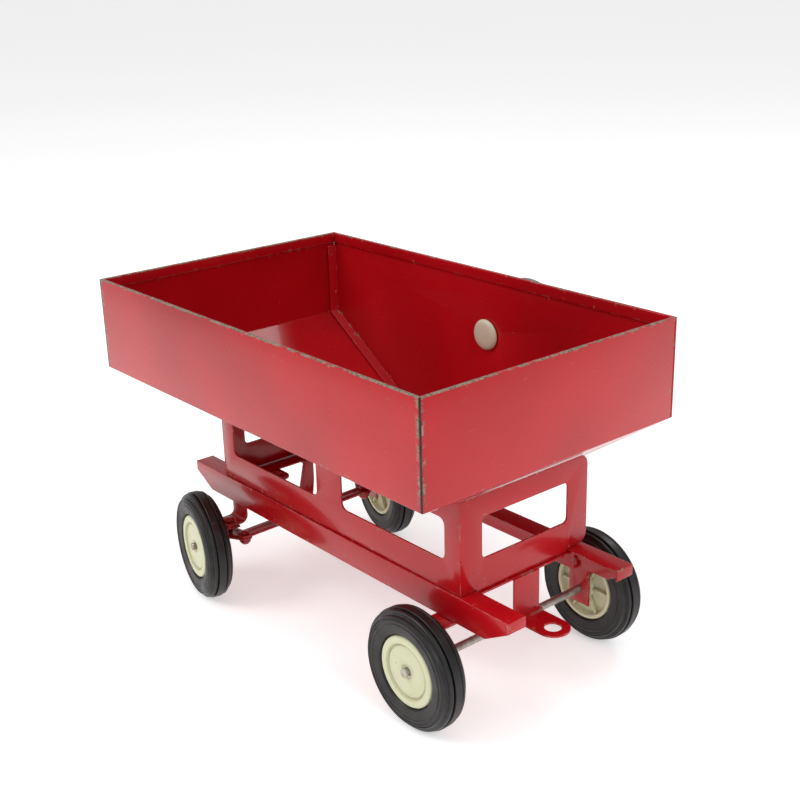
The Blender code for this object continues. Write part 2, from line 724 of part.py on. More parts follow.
def rear_cross_plate(finish):
    """The plate under the rear panel, with a strap bent down from its rear edge and out to a hitch tab."""
    rear = PEDESTAL_REAR + PLATE_OVERHANG
    plate = box(
        "rear_cross_plate",
        (rear - REAR_PLATE_WIDTH, -PLATE_HALF, PLATE_TOP - SHEET),
        (rear, PLATE_HALF, PLATE_TOP),
        finish,
    )
    half = HITCH_WIDTH / 2
    tab_top = PLATE_TOP - HITCH_DROP + SHEET
    path = [(rear, PLATE_TOP - SHEET / 2), (rear, tab_top), (rear + 0.0030, tab_top)]
    strap = prism("hitch_strap", bent(path[::-1], -SHEET)[::-1], -half, half, "Y")
    join(plate, strap)
    centre_x = rear + HITCH_REACH - half
    outline = [(rear + 0.0015, half), (rear + 0.0015, -half)] + arc((centre_x, 0.0), half, -90, 90, 14)
    tab = prism("hitch_tab", outline, tab_top - SHEET, tab_top, "Z")
    join(plate, tab)
    bore(plate, "hitch_hole", HITCH_HOLE_RADIUS, (centre_x, 0.0, tab_top), "Z", 28)
    return plate


def drawbar_bracket(finish):
    """A tapered strap hung behind the front cross plate, where the drawbar pins on."""
    front = PEDESTAL_FRONT - PLATE_OVERHANG + CROSS_PLATE_WIDTH + GAP
    top, foot = PLATE_TOP, PLATE_TOP - DRAWBAR_STRAP_DROP
    start = DRAWBAR_STRAP_Y
    outline = [(start, top), (start + 0.0053, top), (start + 0.0053, top - 0.0110)]
    outline += [(start + 0.0038, foot), (start - 0.0052, foot)]
    strap = prism("drawbar_bracket", outline, front, front + STRIP, "X", finish)
    flange = box(
        "bracket_flange",
        (front - 0.0045, start + 0.0005, top - SHEET - GAP - STRIP),
        (front + STRIP / 2, start + 0.0050, top - SHEET - GAP),
    )
    join(strap, flange)
    bore(strap, "drawbar_hole", DRAWBAR_HOLE_RADIUS, (front, start - 0.0005, foot + 0.0035), "X", 16)
    return strap


def rear_hanger(name, way, finish):
    """A strip inside the rail's flange that passes under it, out to the plate that holds the axle."""
    leg = way * (LEG_OUTER - STRIP)
    shelf = RAIL_BASE - SHELF_GAP - STRIP
    plate = way * (REAR_HANGER_Y + STRIP / 2)
    foot = TYRE_RADIUS - HANGER_BELOW_AXLE
    inner = plate - way * STRIP
    outline = [(leg, PLATE_TOP), (leg, shelf), (inner, shelf), (inner, foot), (plate, foot)]
    outline += [(plate, shelf + STRIP), (leg + way * STRIP, shelf + STRIP), (leg + way * STRIP, PLATE_TOP)]
    half = HANGER_WIDTH / 2
    hanger = prism(name, outline, REAR_AXLE_X - half, REAR_AXLE_X + half, "X", finish)
    bore(hanger, name + "_hole", AXLE_RADIUS + RUN_CLEARANCE, (REAR_AXLE_X, plate, TYRE_RADIUS))
    return hanger


def front_hanger(name, way, finish):
    """A strip inside the rail's flange that curls out under it to a tab for the kingpin."""
    leg = LEG_OUTER - STRIP
    end = KINGPIN_Y + TAB_REACH
    centre = (leg + STRIP + HANGER_BEND, FRONT_TAB_TOP + HANGER_BEND)
    outer_arc = arc(centre, HANGER_BEND, 180, 270, 4)
    inner_arc = arc(centre, HANGER_BEND + STRIP, 270, 180, 4)
    outline = [(leg + STRIP, PLATE_TOP)] + outer_arc + [(end, FRONT_TAB_TOP), (end, TAB_BASE)]
    outline += inner_arc + [(leg, PLATE_TOP)]
    half = HANGER_WIDTH / 2
    outline = [(way * y, z) for y, z in outline]
    hanger = prism(name, outline, KINGPIN_X - half, KINGPIN_X + half, "X", finish)
    pin = (KINGPIN_X, way * KINGPIN_Y, FRONT_TAB_TOP)
    bore(hanger, name + "_hole", KINGPIN_RADIUS + RUN_CLEARANCE, pin, "Z", 20)
    return hanger


def kingpin(name, way, finish):
    head = FRONT_TAB_TOP + GAP
    foot = ARM_TOP - STRIP - GAP
    profile = [(0.0, foot - 0.0009), (0.0024, foot - 0.0009), (0.0024, foot), (KINGPIN_RADIUS, foot)]
    profile += [(KINGPIN_RADIUS, head), (0.0027, head), (0.0022, head + 0.0009), (0.0, head + 0.0012)]
    return turned(name, profile, finish, (KINGPIN_X, way * KINGPIN_Y, 0.0), "Z", 20, False)


# Wheels and steering --------------------------------------------------------------------------------
def axle_pin(name, low, high, finish, centre=(0.0, 0.0, 0.0)):
    """A plain rod with a peened head past each end."""
    foot, tip = low - AXLE_HEAD_THICKNESS, high + AXLE_HEAD_THICKNESS
    profile = [(0.0, foot), (AXLE_HEAD, foot), (AXLE_HEAD, low), (AXLE_RADIUS, low), (AXLE_RADIUS, high)]
    profile += [(AXLE_HEAD, high), (AXLE_HEAD * 0.7, tip), (0.0, tip)]
    return turned(name, profile, finish, centre, "Y", 20, False)


def tyre(name, finish):
    half, tread = TYRE_WIDTH / 2, TYRE_RADIUS
    side = [(TYRE_BORE, half - 0.0012), (TYRE_BORE + 0.0029, half - 0.0002), (tread - 0.0039, half)]
    side += [(tread - 0.0018, half - 0.0012), (tread - 0.0009, half - 0.0028)]
    side += [(tread - 0.0006, 0.0016), (tread, 0.0016)]
    profile = side + [(radius, -along) for radius, along in side[::-1]]
    return turned(name, profile, finish, (0.0, 0.0, 0.0), "Y", 36)


def hub(name, way, finish):
    """The outer side carries a shallow dish, and the inner side a deeper one around the boss."""
    barrel, face = TYRE_BORE - GAP, HUB_HALF_WIDTH
    hole = AXLE_RADIUS + RUN_CLEARANCE
    ring, back_ring = barrel - HUB_RING_WIDTH, barrel - HUB_BACK_RING_WIDTH
    disc = face - HUB_DISH
    back = HUB_BACK_DISH - face
    profile = [(hole, disc + 0.0005), (0.0032, disc + 0.0005), (0.0036, disc), (ring - 0.0004, disc)]
    profile += [(ring, face), (barrel, face), (barrel, -face), (back_ring, -face)]
    profile.append((back_ring - 0.0006, back))
    profile += [(0.0046, back), (0.0040, -face), (hole, -face)]
    return turned(name, [(radius, way * along) for radius, along in profile], finish)


def empty(name, place, turn=0.0):
    made = bpy.data.objects.new(name, None)
    made.location = place
    made.rotation_euler = (0.0, 0.0, turn)
    bpy.context.scene.collection.objects.link(made)
    return made


def hold(made, holder):
    """Parents an object and its Boolean cutters, so that they move as one."""
    made.parent = holder
    for step in made.modifiers:
        step.object.parent = holder


def wheel(word, way, holder, place, rubber, plastic):
    for made in (tyre("tyre_" + word, rubber), hub("hub_" + word, way, plastic)):
        made.location = place
        made.parent = holder


def knuckle(name, way, finish):
    """A plate under the hanger's tab with a web bent down at its outer edge, drawn about the kingpin."""
    half, web = KNUCKLE_HALF_WIDTH, KNUCKLE_WEB
    foot, inner = TYRE_RADIUS - KNUCKLE_BELOW_AXLE, KNUCKLE_INNER
    outline = [(inner, KNUCKLE_TOP), (-web, KNUCKLE_TOP), (-web, foot), (SHEET - web, foot)]
    outline += [(SHEET - web, KNUCKLE_TOP - SHEET), (inner, KNUCKLE_TOP - SHEET)]
    made = prism(name, [(-way * y, z) for y, z in outline], -half, half, "X", finish)
    bore(made, name + "_kingpin_hole", KINGPIN_RADIUS + RUN_CLEARANCE, (0.0, 0.0, KNUCKLE_TOP), "Z", 20)
    place = (0.0, way * web, TYRE_RADIUS)
    bore(made, name + "_axle_hole", AXLE_RADIUS + RUN_CLEARANCE, place, "Y", 20, OVERRUN / 2)
    return made


def steering_arm(name, way, slop, finish):
    inner_edge = KNUCKLE_WEB - SHEET - GAP
    points = [(-0.0042, way * inner_edge), (0.0042, way * inner_edge)]
    points += arc((0.0, 0.0), ARM_KINGPIN_END, 0, 345, 23)
    points += arc((ARM_REACH, -way * ARM_INSET), ARM_PIN_END, 0, 345, 23)
    made = prism(name, wrap(points), ARM_TOP - STRIP, ARM_TOP, "Z", finish)
    bore(made, name + "_kingpin_hole", KINGPIN_RADIUS + RUN_CLEARANCE, (0.0, 0.0, ARM_TOP), "Z", 20)
    place = (ARM_REACH, -way * ARM_INSET, ARM_TOP)
    bore(made, name + "_pin_hole", TIE_PIN_RADIUS + slop, place, "Z", 20)
    return made


def tie_rod_line():
    """Its length between pins, and the angle it stands at while the wheels are at rest."""
    pins = Matrix.Rotation(REST_STEER, 2) @ Vector((0.0, -2 * ARM_INSET)) + Vector((0.0, 2 * KINGPIN_Y))
    return pins.length, math.atan2(-pins.x, pins.y)


def tie_rod(finish):
    length = tie_rod_line()[0]
    half = TIE_ROD_WIDTH / 2
    outline = arc((0.0, 0.0), half, 180, 360, 8) + arc((0.0, length), half, 0, 180, 8)
    made = prism("tie_rod", outline, TIE_ROD_BASE, TIE_ROD_BASE + SHEET, "Z", finish)
    for word, y in (("near", 0.0), ("far", length)):
        place = (0.0, y, TIE_ROD_BASE)
        bore(made, "tie_%s_hole" % word, TIE_PIN_RADIUS + RUN_CLEARANCE, place, "Z", 20)
    return made


def tie_pin(name, y, finish):
    head = TIE_ROD_BASE + SHEET + GAP
    foot = ARM_TOP - STRIP - GAP
    profile = [(0.0, foot - 0.0026), (0.0015, foot - 0.0026), (0.0026, foot - 0.0012), (0.0026, foot)]
    profile += [(TIE_PIN_RADIUS, foot), (TIE_PIN_RADIUS, head), (0.0021, head), (0.0016, head + 0.0007)]
    profile.append((0.0, head + 0.0009))
    return turned(name, profile, finish, (0.0, y, 0.0), "Z", 20, False)


def running_gear(enamel, steel, rubber, plastic):
    outboard = HUB_HALF_WIDTH + AXLE_END_PLAY
    half = REAR_WHEEL_Y + outboard
    axle_pin("rear_axle", -half, half, steel, (REAR_AXLE_X, 0.0, TYRE_RADIUS))
    for way, word in ((-1, "near"), (1, "far")):
        rear_hanger("rear_hanger_" + word, way, enamel)
        front_hanger("front_hanger_" + word, way, enamel)
        kingpin("kingpin_" + word, way, enamel)
        place = (REAR_AXLE_X, way * REAR_WHEEL_Y, TYRE_RADIUS)
        wheel("rear_" + word, way, None, place, rubber, plastic)
        steer = empty("steer_" + word, (KINGPIN_X, way * KINGPIN_Y, 0.0), REST_STEER)
        hold(knuckle("knuckle_" + word, way, enamel), steer)
        slop = RUN_CLEARANCE if way < 0 else TIE_PIN_SLOP
        hold(steering_arm("steering_arm_" + word, way, slop, enamel), steer)
        inner = KNUCKLE_WEB - SHEET - GAP
        stub = axle_pin("stub_axle_" + word, inner, WHEEL_OFFSET + outboard, steel)
        if way < 0:
            stub.data.transform(Matrix.Rotation(math.pi, 4, "Z"))
        stub.location = (0.0, 0.0, TYRE_RADIUS)
        stub.parent = steer
        place = (0.0, way * WHEEL_OFFSET, TYRE_RADIUS)
        wheel("front_" + word, way, steer, place, rubber, plastic)
    length, lean = tie_rod_line()
    arm = Matrix.Rotation(REST_STEER, 2) @ Vector((ARM_REACH, ARM_INSET))
    holder = empty("tie_rod_pivot", (KINGPIN_X + arm.x, arm.y - KINGPIN_Y, 0.0), lean)
    hold(tie_rod(enamel), holder)
    tie_pin("tie_pin_near", 0.0, enamel).parent = holder
    tie_pin("tie_pin_far", length, enamel).parent = holder


def hopper(enamel, dark_steel, grey, plastic):
    hopper_near_side(enamel)
    hopper_end("hopper_front_end", -1, enamel)
    hopper_end("hopper_rear_end", 1, enamel)
    hopper_far_side(enamel)
    discharge_chute(enamel)
    door_guide("door_guide_front", -1, enamel)
    door_guide("door_guide_rear", 1, enamel)
    shaft_bracket(enamel)
    door_slide = empty("door_slide", (0.0, DOOR_FACE, DOOR_BASE))
    for made in (discharge_door(enamel), door_rack(dark_steel)):
        hold(made, door_slide)
    axis = empty("hand_wheel_axis", (HAND_WHEEL_X, 0.0, HAND_WHEEL_Z))
    for made in (hand_wheel(grey), hand_wheel_shaft(dark_steel), pinion(dark_steel), shaft_cap(plastic)):
        hold(made, axis)


def frame(enamel):
    pedestal(enamel, hopper_room())
    rail("near_rail", -1, enamel)
    rail("far_rail", 1, enamel)
    front_cross_plate(enamel)
    gusset_rivet("gusset_rivet_near", -1, enamel)
    gusset_rivet("gusset_rivet_far", 1, enamel)
    rear_cross_plate(enamel)
    drawbar_bracket(enamel)


def stand_on_origin():
    """Parents everything to one empty that centres the bounding box over the origin."""
    wheel_end = HAND_WHEEL_Y + BOSS_FACE + GAP + SHAFT_HEAD
    shift = (-(RAIL_REAR - HALF_X) / 2, -(wheel_end - HALF_Y) / 2, 0.0)
    holder = empty("wagon", shift)
    for made in bpy.data.objects:
        if made.parent is None and made is not holder:
            made.parent = holder


def main():
    for old in list(bpy.data.objects):
        bpy.data.objects.remove(old, do_unlink=True)
    enamel = material("red enamel", (0.52, 0.012, 0.018), 0.22)
    steel = material("bare steel", (0.36, 0.33, 0.29), 0.42, 0.9)
    rubber = material("black rubber", (0.012, 0.012, 0.013), 0.55)
    plastic = material("cream plastic", (0.74, 0.70, 0.52), 0.38)
    grey = material("grey casting", (0.30, 0.30, 0.28), 0.45, 0.3)
    hopper(enamel, steel, grey, plastic)
    frame(enamel)
    running_gear(enamel, steel, rubber, plastic)
    stand_on_origin()


if __name__ == "__main__":
    main()
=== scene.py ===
"""Looks of a pressed-steel toy gravity wagon, as an add-on with one operator for each group of pieces."""
import json
import math

import bmesh
import bpy
from mathutils import Matrix, Vector


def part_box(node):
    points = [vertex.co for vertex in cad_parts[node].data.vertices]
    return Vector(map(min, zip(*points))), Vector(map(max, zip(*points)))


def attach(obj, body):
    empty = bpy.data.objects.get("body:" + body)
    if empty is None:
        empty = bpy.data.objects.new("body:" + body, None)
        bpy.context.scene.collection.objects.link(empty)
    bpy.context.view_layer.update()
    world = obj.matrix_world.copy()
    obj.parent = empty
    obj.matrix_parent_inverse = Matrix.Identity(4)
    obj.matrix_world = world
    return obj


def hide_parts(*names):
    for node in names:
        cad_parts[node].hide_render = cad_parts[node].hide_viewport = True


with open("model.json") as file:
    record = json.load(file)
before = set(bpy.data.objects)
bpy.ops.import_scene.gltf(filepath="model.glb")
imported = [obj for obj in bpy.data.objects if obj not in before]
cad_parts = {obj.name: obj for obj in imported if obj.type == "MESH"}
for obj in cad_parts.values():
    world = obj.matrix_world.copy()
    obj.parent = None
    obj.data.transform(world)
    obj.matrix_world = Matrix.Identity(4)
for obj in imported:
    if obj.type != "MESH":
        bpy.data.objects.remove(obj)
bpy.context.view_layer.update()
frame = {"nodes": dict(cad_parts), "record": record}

bl_info = {
    "name": "Toy gravity wagon",
    "version": (1, 0, 0),
    "blender": (4, 5, 0),
    "location": "View3D > Sidebar > Wagon",
    "description": "Finishes the sheet metal, wheels and fittings of a toy gravity wagon",
    "category": "Object",
}

MM = 0.001
REST_STEER = math.radians(-12.0)

SAME_POINT = 0.01 * MM
SPUN_POINT = 0.001 * MM
SPUN_SEAM = 0.005 * MM
FLAT_ANGLE = math.radians(1.0)
SMOOTH_ANGLE = math.radians(40.0)
RIB_SMOOTH_ANGLE = 24.0
HUB_STEPS = 72
CAP_STEPS = 56

STEERING_ROUND = 0.8
TOOTH_ROUND = 0.08 * MM
PIN_ROUND = 0.25 * MM
AXLE_ROUND = 0.22 * MM
MOULDED_ROUND = 0.2 * MM
CAP_SOCKET_RADIUS = 1.76 * MM

HIP_HEIGHT = 3.0 * MM
HIP_DRAW = 0.22 * MM
CORNER_DEPTH = 0.5 * MM
CORNER_DRAW = 0.32 * MM

TREAD_RADIUS = 24.38 * MM
TYRE_HALF = 5.88 * MM
HUB_BORE = 1.78 * MM
HUB_FACE = 4.97 * MM
WHEELS = ("rear_near", "rear_far", "front_near", "front_far")

HOPPER_SHEETS = ("hopper_near_side", "hopper_front_end", "hopper_rear_end", "hopper_far_side")
DISCHARGE_PIECES = (
    "discharge_chute",
    "discharge_door",
    "door_guide_front",
    "door_guide_rear",
    "shaft_bracket",
)
FRAME_PIECES = (
    "pedestal",
    "near_rail",
    "far_rail",
    "front_cross_plate",
    "rear_cross_plate",
    "drawbar_bracket",
    "rear_hanger_near",
    "rear_hanger_far",
    "front_hanger_near",
    "front_hanger_far",
)
STEERING_PIECES = ("knuckle_near", "knuckle_far", "steering_arm_near", "steering_arm_far", "tie_rod")
PINS = (
    "kingpin_near",
    "kingpin_far",
    "tie_pin_near",
    "tie_pin_far",
    "gusset_rivet_near",
    "gusset_rivet_far",
)
AXLES = ("rear_axle", "stub_axle_near", "stub_axle_far")
GEARS = ("pinion", "door_rack")

LAMPS = (
    ("key box", (-0.45, -0.85, 0.85), (0.0, 0.0, 0.08), (0.6, 0.5), 5.0),
    ("back box", (0.05, 0.85, 1.05), (-0.05, 0.0, 0.10), (0.5, 0.3), 2.2),
    ("fill box", (1.05, -0.15, 0.85), (0.0, 0.0, 0.08), (0.5, 0.5), 3.5),
    ("top box", (0.3, -0.3, 1.6), (0.0, 0.0, 0.0), (1.6, 1.6), 6.0),
)
AIR_STRENGTH = 0.44
FLOOR_SIZE = 40.0
FLOOR_GLOW = 0.48


# Settings
class EnamelSettings(bpy.types.PropertyGroup):
    colour: bpy.props.FloatVectorProperty(
        name="Enamel", description="Colour of the sound enamel", subtype="COLOR", size=3,
        default=(0.50, 0.0042, 0.0095), min=0.0, max=1.0,
    )
    shade: bpy.props.FloatVectorProperty(
        name="Deep enamel", description="Colour where the enamel lies thicker", subtype="COLOR", size=3,
        default=(0.33, 0.0026, 0.0060), min=0.0, max=1.0,
    )
    bare: bpy.props.FloatVectorProperty(
        name="Rubbed edge", description="Colour of the metal on a rubbed edge", subtype="COLOR", size=3,
        default=(0.36, 0.29, 0.215), min=0.0, max=1.0,
    )
    rust: bpy.props.FloatVectorProperty(
        name="Rust", description="Colour of old chips", subtype="COLOR", size=3,
        default=(0.085, 0.045, 0.028), min=0.0, max=1.0,
    )
    roughness: bpy.props.FloatProperty(
        name="Roughness", description="Roughness of the enamel", subtype="FACTOR",
        default=0.22, min=0.0, max=1.0,
    )
    edge_round: bpy.props.FloatProperty(
        name="Edge round", description="Radius on the sheet's edges", unit="LENGTH",
        default=0.22 * MM, min=0.0,
    )


class WheelSettings(bpy.types.PropertyGroup):
    rib_depth: bpy.props.FloatProperty(
        name="Rib depth", description="Depth of the grooves between the tread ribs", unit="LENGTH",
        default=0.80 * MM,
    )
    steps_round: bpy.props.IntProperty(
        name="Steps", description="Facets round a tyre", default=96, min=24, max=256
    )
    spokes: bpy.props.IntProperty(
        name="Ribs", description="Ribs on the inner side of a hub", default=6, min=3, max=12
    )
    rubber: bpy.props.FloatVectorProperty(
        name="Rubber", description="Colour of the tyres", subtype="COLOR", size=3,
        default=(0.0062, 0.0052, 0.0052),
    )
    plastic: bpy.props.FloatVectorProperty(
        name="Plastic", description="Colour of the hubs", subtype="COLOR", size=3,
        default=(0.65, 0.665, 0.465),
    )


class StageSettings(bpy.types.PropertyGroup):
    camera_place: bpy.props.FloatVectorProperty(
        name="Camera", description="Place of the camera", subtype="XYZ", size=3, unit="LENGTH",
        default=(0.39286, -0.32952, 0.28105),
    )
    azimuth: bpy.props.FloatProperty(
        name="Azimuth", description="Direction of view", unit="ROTATION", default=math.radians(50.23)
    )
    elevation: bpy.props.FloatProperty(
        name="Elevation", description="Height of view above the horizon", unit="ROTATION",
        default=math.radians(20.03),
    )
    roll: bpy.props.FloatProperty(
        name="Roll", description="Turn of the camera about its axis", unit="ROTATION",
        default=math.radians(-1.52),
    )
    lens: bpy.props.FloatProperty(
        name="Lens", description="Focal length", default=57.26, min=10.0, subtype="DISTANCE_CAMERA"
    )


# Mesh helpers
def deselect():
    if bpy.context.mode != "OBJECT":
        bpy.ops.object.mode_set(mode="OBJECT")
    bpy.ops.object.select_all(action="DESELECT")


def pick(obj):
    deselect()
    obj.select_set(True)
    bpy.context.view_layer.objects.active = obj


def apply_modifiers(obj):
    pick(obj)
    for modifier in list(obj.modifiers):
        bpy.ops.object.modifier_apply(modifier=modifier.name)


def place_in_mesh(obj):
    pick(obj)
    bpy.ops.object.transform_apply(location=True, rotation=True, scale=True)


def body_of_node(node):
    for body, nodes in frame["record"]["behaviour"]["bodies"].items():
        if node in nodes:
            return body
    raise ValueError("no body holds " + node)


def centre_of(node):
    low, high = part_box(node)
    return (Vector(low) + Vector(high)) / 2


def finish_piece(piece, node, material, *more):
    """Gives a piece its material, ties it to the body of the node that it stands for, and hides that
    node.
    """
    piece.data.materials.clear()
    piece.data.materials.append(material)
    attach(piece, body_of_node(node))
    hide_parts(node, *more)


def softened_copy(node, name, radius, segments=2, angle=30.0):
    """A node's shape with its facets merged and its edges rounded."""
    source = frame["nodes"][node]
    pick(source)
    bpy.ops.object.duplicate()
    piece = bpy.context.view_layer.objects.active
    piece.name = name
    piece.hide_render = False
    piece.parent = None
    piece.data = piece.data.copy()
    piece.data.name = name
    pick(piece)
    bpy.ops.object.mode_set(mode="EDIT")
    bpy.ops.mesh.select_all(action="SELECT")
    bpy.ops.mesh.remove_doubles(threshold=SAME_POINT)
    bpy.ops.mesh.dissolve_limited(angle_limit=FLAT_ANGLE)
    bpy.ops.mesh.select_all(action="SELECT")
    bpy.ops.mesh.normals_make_consistent(inside=False)
    bpy.ops.object.mode_set(mode="OBJECT")
    bevel = piece.modifiers.new("Edge round", "BEVEL")
    bevel.width = radius
    bevel.segments = segments
    bevel.limit_method = "ANGLE"
    bevel.angle_limit = math.radians(angle)
    bevel.harden_normals = False
    bevel.miter_outer = "MITER_ARC"
    apply_modifiers(piece)
    bpy.ops.object.shade_smooth_by_angle(angle=SMOOTH_ANGLE)
    return piece


def spun(name, outline, steps, closed=True, crisp=38.0):
    """Extrudes a point along an outline of (radius, along) pairs, then spins it about Y."""
    deselect()
    bpy.ops.mesh.primitive_plane_add(size=0.001, location=(outline[0][0], outline[0][1], 0.0))
    piece = bpy.context.view_layer.objects.active
    piece.name = name
    piece.data.name = name
    place_in_mesh(piece)
    bpy.ops.object.mode_set(mode="EDIT")
    bpy.ops.mesh.select_all(action="SELECT")
    bpy.ops.mesh.merge(type="CENTER")
    last = outline[0]
    for radius, along in list(outline[1:]) + ([outline[0]] if closed else []):
        step = (radius - last[0], along - last[1], 0.0)
        bpy.ops.mesh.extrude_region_move(TRANSFORM_OT_translate={"value": step})
        last = (radius, along)
    bpy.ops.mesh.select_all(action="SELECT")
    bpy.ops.mesh.remove_doubles(threshold=SPUN_POINT)
    bpy.ops.mesh.select_all(action="SELECT")
    bpy.ops.mesh.spin(steps=steps, angle=2 * math.pi, center=(0.0, 0.0, 0.0), axis=(0.0, 1.0, 0.0))
    bpy.ops.mesh.select_all(action="SELECT")
    bpy.ops.mesh.remove_doubles(threshold=SPUN_SEAM)
    bpy.ops.mesh.normals_make_consistent(inside=False)
    bpy.ops.object.mode_set(mode="OBJECT")
    pick(piece)
    bpy.ops.object.shade_smooth_by_angle(angle=math.radians(crisp))
    return piece


def copy_of(piece, name, matrix):
    pick(piece)
    bpy.ops.object.duplicate()
    made = bpy.context.view_layer.objects.active
    made.name = name
    made.data.name = name
    made.data.transform(matrix)
    return made


# Node helpers
class Shader:
    """A node tree with one Principled shader, and short ways to add to it."""

    def __init__(self, name):
        self.material = bpy.data.materials.new(name)
        self.material.use_nodes = True
        self.tree = self.material.node_tree
        self.principled = self.tree.nodes["Principled BSDF"]
        self.place = self.add("ShaderNodeTexCoord").outputs["Object"]

    def add(self, kind, **settings):
        node = self.tree.nodes.new(kind)
        for key, value in settings.items():
            setattr(node, key, value)
        return node

    def link(self, start, end):
        self.tree.links.new(start, end)

    def set(self, **values):
        for key, value in values.items():
            self.principled.inputs[key.replace("_", " ")].default_value = value

    def feed(self, socket, source):
        self.link(source, self.principled.inputs[socket])

    def stretched(self, scale):
        mapping = self.add("ShaderNodeMapping")
        mapping.inputs["Scale"].default_value = scale
        self.link(self.place, mapping.inputs["Vector"])
        return mapping.outputs["Vector"]

    def noise(self, scale, detail=4.0, roughness=0.5, place=None):
        node = self.add("ShaderNodeTexNoise")
        node.inputs["Scale"].default_value = scale
        node.inputs["Detail"].default_value = detail
        node.inputs["Roughness"].default_value = roughness
        self.link(place or self.place, node.inputs["Vector"])
        return node.outputs["Fac"]

    def ramp(self, source, low, high, start=0.0, end=1.0):
        node = self.add("ShaderNodeMapRange")
        node.clamp = True
        self.link(source, node.inputs["Value"])
        for name, value in (("From Min", low), ("From Max", high), ("To Min", start), ("To Max", end)):
            node.inputs[name].default_value = value
        return node.outputs["Result"]

    def split(self, axis):
        """One coordinate of the place on the object."""
        node = self.add("ShaderNodeSeparateXYZ")
        self.link(self.place, node.inputs[0])
        return node.outputs[axis]

    def maths(self, operation, first, second=0.0):
        node = self.add("ShaderNodeMath", operation=operation, use_clamp=operation == "ADD")
        for index, value in enumerate((first, second)):
            if isinstance(value, (int, float)):
                node.inputs[index].default_value = value
            else:
                self.link(value, node.inputs[index])
        return node.outputs[0]

    def blend(self, share, first, second):
        """Mixes two colours, each a socket or a tuple, by a share socket."""
        node = self.add("ShaderNodeMix", data_type="RGBA")
        self.link(share, node.inputs[0])
        for index, value in ((6, first), (7, second)):
            if isinstance(value, tuple):
                node.inputs[index].default_value = (*value, 1.0)
            else:
                self.link(value, node.inputs[index])
        return node.outputs[2]

    def worn_edge(self, radius, sharp, flat):
        """1 on the part's own sharp edges, 0 on its flats."""
        rounded = self.add("ShaderNodeBevel", samples=4)
        rounded.inputs["Radius"].default_value = radius
        geometry = self.add("ShaderNodeNewGeometry")
        dot = self.add("ShaderNodeVectorMath", operation="DOT_PRODUCT")
        self.link(rounded.outputs["Normal"], dot.inputs[0])
        self.link(geometry.outputs["Normal"], dot.inputs[1])
        return self.ramp(dot.outputs["Value"], flat, sharp)

    def bump(self, heights, distance):
        """Stacks (height socket, strength) pairs into one normal."""
        normal = None
        for height, strength in heights:
            node = self.add("ShaderNodeBump")
            node.inputs["Strength"].default_value = strength
            node.inputs["Distance"].default_value = distance
            self.link(height, node.inputs["Height"])
            if normal is not None:
                self.link(normal, node.inputs["Normal"])
            normal = node.outputs["Normal"]
        self.feed("Normal", normal)


def enamel(name, settings, wear, shift, rim=None):
    """Gloss enamel with rubbed edges, chips and hair lines; rim is the box of a sheet with a worn top."""
    made = Shader(name)
    moved = made.add("ShaderNodeMapping")
    moved.inputs["Location"].default_value = (shift, shift * 0.37, shift * 0.71)
    made.link(made.place, moved.inputs["Vector"])
    place = moved.outputs["Vector"]
    made.set(Coat_Weight=0.22, Coat_Roughness=0.06, IOR=1.38)

    swell = made.ramp(made.noise(13.0, 2.0, 0.45, place), 0.32, 0.68)
    paint = made.blend(swell, tuple(settings.colour), tuple(settings.shade))
    haze = made.ramp(made.noise(120.0, 4.0, 0.6, place), 0.56, 0.82, 0.0, 0.07)
    paint = made.blend(haze, paint, tuple(min(1.0, c * 1.2 + 0.02) for c in settings.colour))

    grain = made.noise(900.0, 4.0, 0.65, place)
    patches = made.ramp(made.noise(150.0, 5.0, 0.7, place), 0.56 - 0.12 * wear, 0.64 - 0.12 * wear)
    edge = made.ramp(made.worn_edge(0.62 * MM, 0.84, 0.985), 0.12, 0.40)
    if rim is not None:
        edge = made.maths("MAXIMUM", edge, rim_wear(made, rim))
    rubbed = made.ramp(made.maths("MULTIPLY", edge, made.maths("MULTIPLY", patches, grain)), 0.14, 0.26)

    near_edge = made.ramp(made.worn_edge(2.6 * MM, 0.80, 0.997), 0.18, 0.42)
    bites = made.ramp(made.noise(260.0, 3.0, 0.6, place), 0.650 - 0.03 * wear, 0.670)
    chips = made.maths("MULTIPLY", bites, near_edge)
    flecks = made.ramp(made.noise(225.0, 2.0, 0.5, place), 0.795, 0.805)
    chips = made.maths("MAXIMUM", chips, flecks)

    metal = made.blend(made.ramp(grain, 0.44, 0.64), tuple(settings.bare), tuple(settings.rust))
    colour = made.blend(rubbed, paint, metal)
    old_steel = made.blend(made.ramp(grain, 0.38, 0.58), tuple(settings.rust), tuple(settings.bare))
    colour = made.blend(chips, colour, old_steel)
    if rim is not None:
        painted_seam_shade, loss = seam_shade_and_wear(made, rim, place)
        colour = made.blend(loss, colour, old_steel)
        # painted shade: a darker colour laid over the enamel along the open corner seams
        colour = made.blend(painted_seam_shade, colour, tuple(0.35 * c for c in settings.rust))
        chips = made.maths("MAXIMUM", chips, loss)
    made.feed("Base Color", colour)

    gone = made.maths("MAXIMUM", rubbed, chips)
    smear = made.noise(60.0, 4.0, 0.6, made.stretched((1.0, 1.0, 2.2)))
    smear = made.ramp(smear, 0.40, 0.75, 0.0, 0.07)
    hair_lines = made.noise(110.0, 6.0, 0.75, made.stretched((0.7, 0.7, 9.0)))
    hair_lines = made.ramp(hair_lines, 0.63, 0.71, 0.0, 0.12)
    rough = made.maths("ADD", made.maths("ADD", smear, hair_lines), made.maths("MULTIPLY", gone, 0.36))
    rough = made.maths("ADD", rough, settings.roughness)
    made.feed("Roughness", rough)
    made.feed("Metallic", made.maths("MULTIPLY", rubbed, 0.35))
    whole = made.maths("SUBTRACT", 1.0, gone)
    sway = made.noise(11.0, 1.0, 0.4, place)
    made.bump([(made.noise(300.0, 3.0, 0.5, place), 0.004), (sway, 0.55), (whole, 0.09)], 1.0 * MM)
    return made.material


